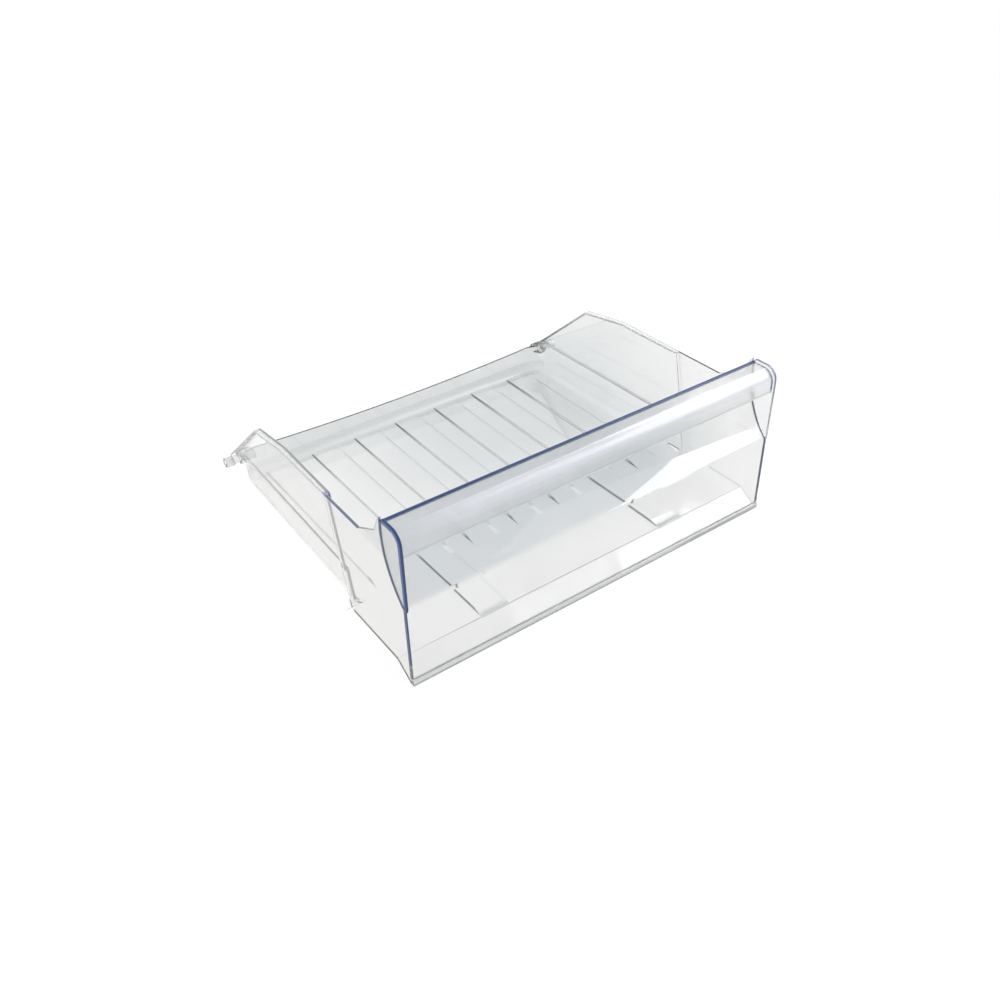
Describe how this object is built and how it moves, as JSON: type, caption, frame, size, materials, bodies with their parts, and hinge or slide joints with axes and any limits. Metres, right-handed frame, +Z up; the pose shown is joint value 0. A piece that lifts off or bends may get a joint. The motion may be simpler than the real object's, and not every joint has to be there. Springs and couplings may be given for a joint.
{
  "type": "refrigerator drawer",
  "caption": "Clear moulded refrigerator drawer with a ribbed floor, a scooped front wall under a hooked grip, flanged side walls and a guide peg at each rear corner.",
  "frame": {"origin": "centre of the bottom of the drawer's bounding box", "axes": "+X to the right seen from the front, +Y from the front to the back, +Z up"},
  "size_m": [0.482, 0.396, 0.179],
  "materials": {
    "clear_tray": "clear polished polystyrene with a slight grey-green tint",
    "clear_panel": "clear polished polystyrene with a slight grey-blue tint",
    "clear_grip": "clear polished polystyrene with a slight grey-blue tint",
    "clear_peg": "clear polished polystyrene"
  },
  "bodies": {
    "root": {"tray": "clear_tray", "front_panel": "clear_panel", "grip": "clear_grip", "guide_peg_left": "clear_peg", "guide_peg_right": "clear_peg"}
  },
  "joints": []
}
